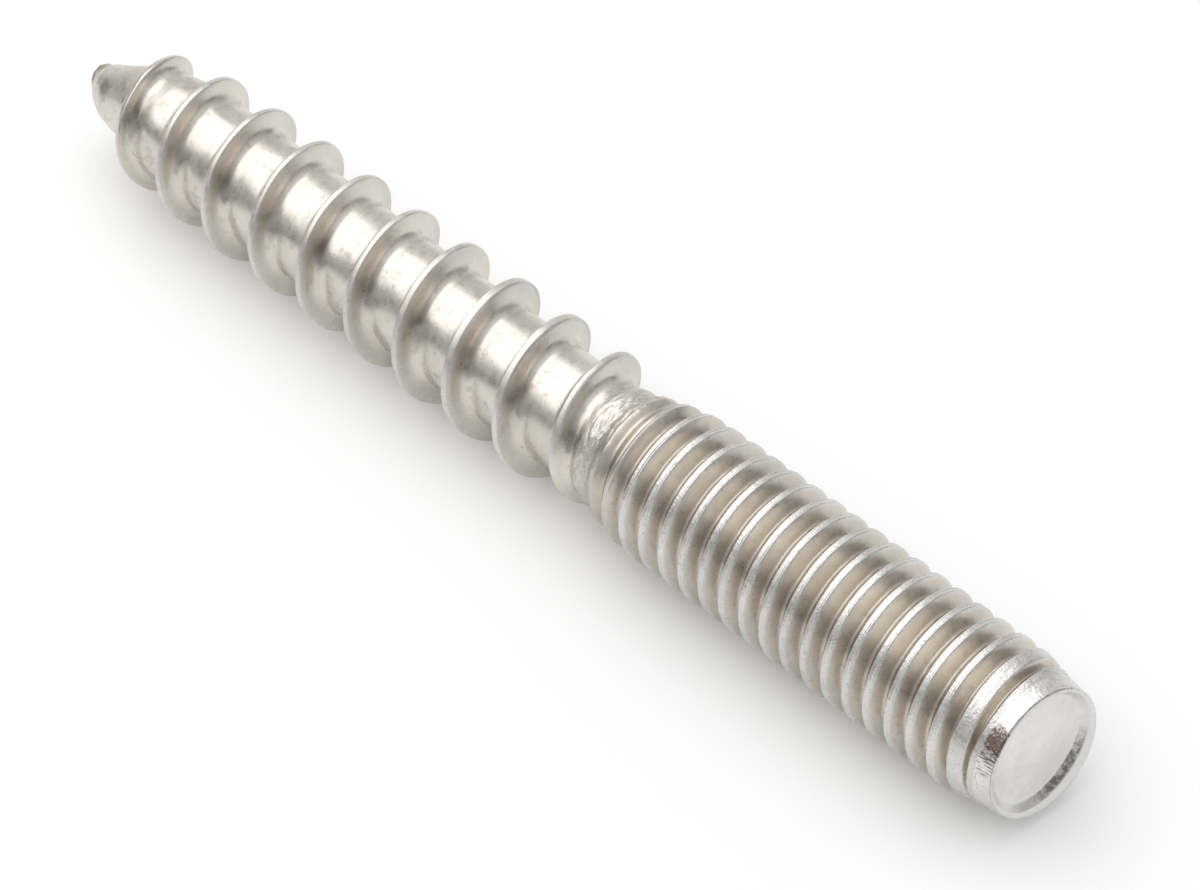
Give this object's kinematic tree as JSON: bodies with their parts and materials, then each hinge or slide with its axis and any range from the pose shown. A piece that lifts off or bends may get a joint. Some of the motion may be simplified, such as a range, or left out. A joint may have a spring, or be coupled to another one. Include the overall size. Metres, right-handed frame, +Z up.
{
  "type": "hanger bolt",
  "caption": "Headless double-ended bolt with a coarse wood thread and blunt point on one half and a chamfered metric machine thread on the other.",
  "frame": {"origin": "point on the surface that the bolt lies on, under the middle of its length and its axis", "axes": "+X along the bolt towards the machine end, +Z up from the surface that it lies on"},
  "size_m": [0.05, 0.006, 0.0059],
  "materials": {
    "stainless_steel": "rolled stainless steel, bright on the crests and the chamfer, satin and slightly warm in the grooves"
  },
  "bodies": {
    "root": {"hanger_bolt": "stainless_steel"}
  },
  "joints": []
}
